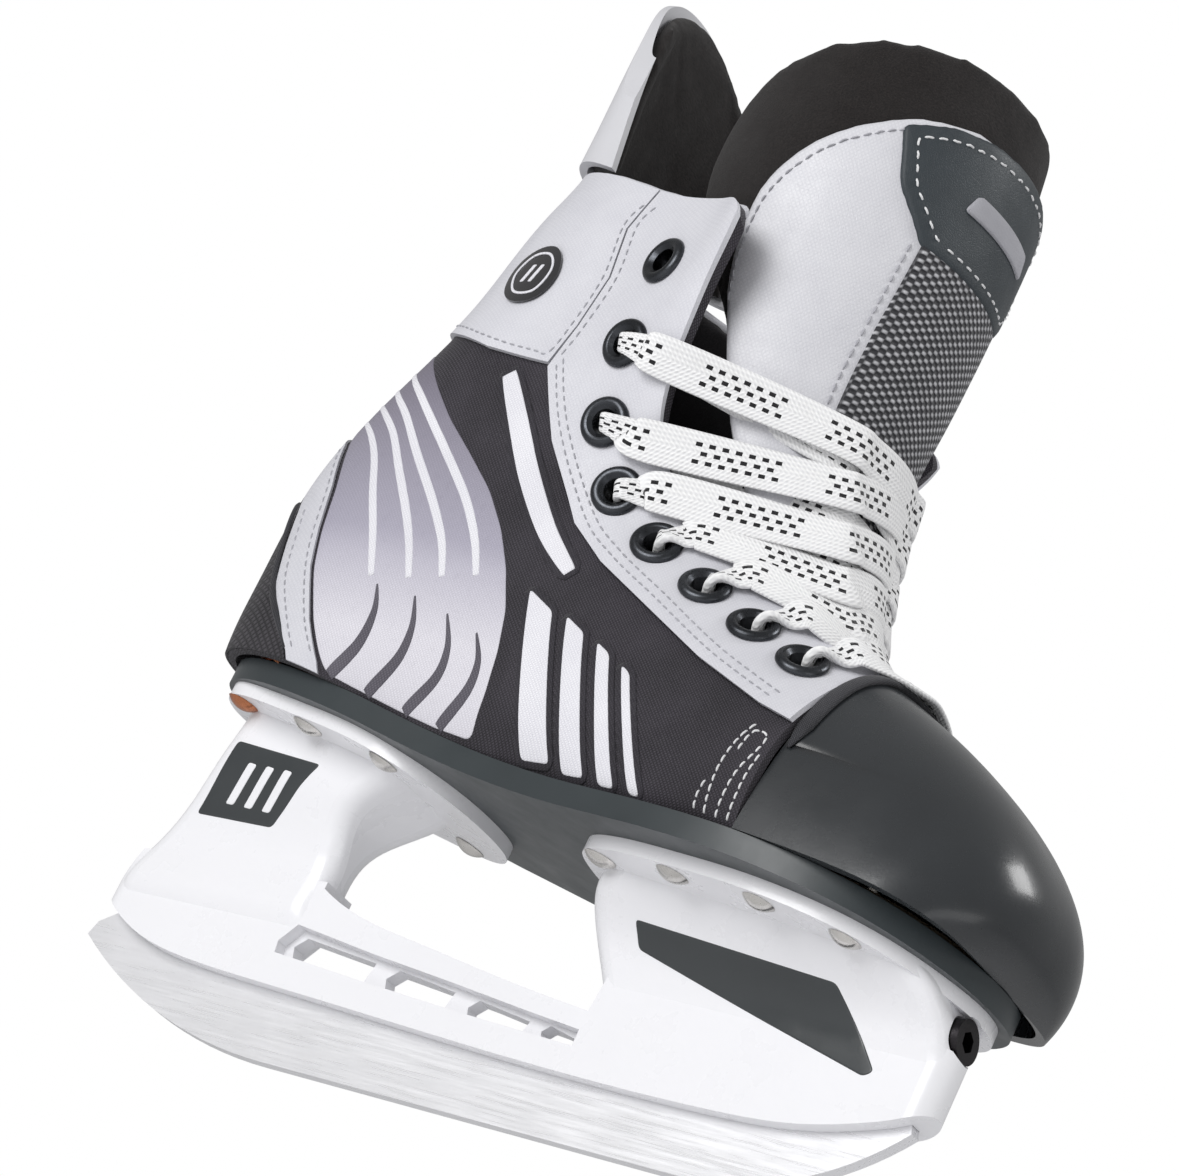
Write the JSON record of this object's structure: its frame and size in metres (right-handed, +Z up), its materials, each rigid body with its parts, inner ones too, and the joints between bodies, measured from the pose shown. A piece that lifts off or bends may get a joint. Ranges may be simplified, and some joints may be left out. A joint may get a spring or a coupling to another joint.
{
  "type": "ice hockey skate",
  "caption": "Right-foot youth ice hockey skate: riveted plastic holder with steel runner, laced synthetic boot with hard toe cap, flexing tongue and tendon guard.",
  "frame": {"origin": "on the runner's flat, on the ice, under the middle of the boot", "axes": "+X towards the toe, +Y towards the inner side of the right foot, +Z up from the ice"},
  "size_m": [0.2171, 0.0972, 0.2549],
  "materials": {
    "steel": "ground",
    "holder_plastic": "gloss",
    "black_bolt": "satin",
    "nickel": "polished",
    "copper": "polished",
    "outsole_plastic": "satin",
    "board_fibre": "matt",
    "footbed_foam": "matt",
    "toe_cap_plastic": "satin",
    "nylon": "woven",
    "white_synthetic": "satin",
    "badge_plastic": "gloss",
    "dark_metal": "gunmetal",
    "liner": "brushed",
    "guard_plastic": "satin",
    "felt": "felt",
    "lace_cotton": "woven"
  },
  "bodies": {
    "skate": {"runner_blade": "steel", "blade_holder": "holder_plastic", "front_runner_bolt": "black_bolt", "rear_runner_bolt": "black_bolt", "rear_rivets": "nickel", "front_rivets": "nickel", "copper_rivets": "copper", "outsole": "outsole_plastic", "insole_board": "board_fibre", "footbed": "footbed_foam", "toe_cap": "toe_cap_plastic", "quarter_lateral": "nylon", "quarter_medial": "nylon", "facing_lateral": "white_synthetic", "facing_medial": "white_synthetic", "ankle_overlay_lateral": "white_synthetic", "ankle_overlay_medial": "white_synthetic", "ankle_badge_lateral": "badge_plastic", "ankle_badge_medial": "badge_plastic", "heel_trim_lateral": "white_synthetic", "heel_trim_medial": "white_synthetic", "heel_patch": "nylon", "eyelets_lateral": "dark_metal", "eyelets_medial": "dark_metal", "ankle_padding_lateral": "liner", "ankle_padding_medial": "liner", "tongue_felt_lower": "felt", "tongue_shell_lower": "white_synthetic", "laces_lateral": "lace_cotton", "laces_medial": "lace_cotton"},
    "tongue": {"tongue_felt_upper": "felt", "tongue_shell_upper": "white_synthetic"},
    "guard": {"tendon_guard": "guard_plastic", "tendon_guard_lining": "felt"}
  },
  "joints": [
    {"name": "tongue_flex", "type": "hinge", "parent": "skate", "child": "tongue", "pos_m": [0.036, 0, 0.157], "axis": [0, 1, 0], "range_deg": [-3, 30], "stiffness_Nm_per_rad": 0.3},
    {"name": "tendon_guard_flex", "type": "hinge", "parent": "skate", "child": "guard", "pos_m": [-0.0605, 0, 0.2035], "axis": [0, 1, 0], "range_deg": [-25, 3], "stiffness_Nm_per_rad": 0.6}
  ]
}
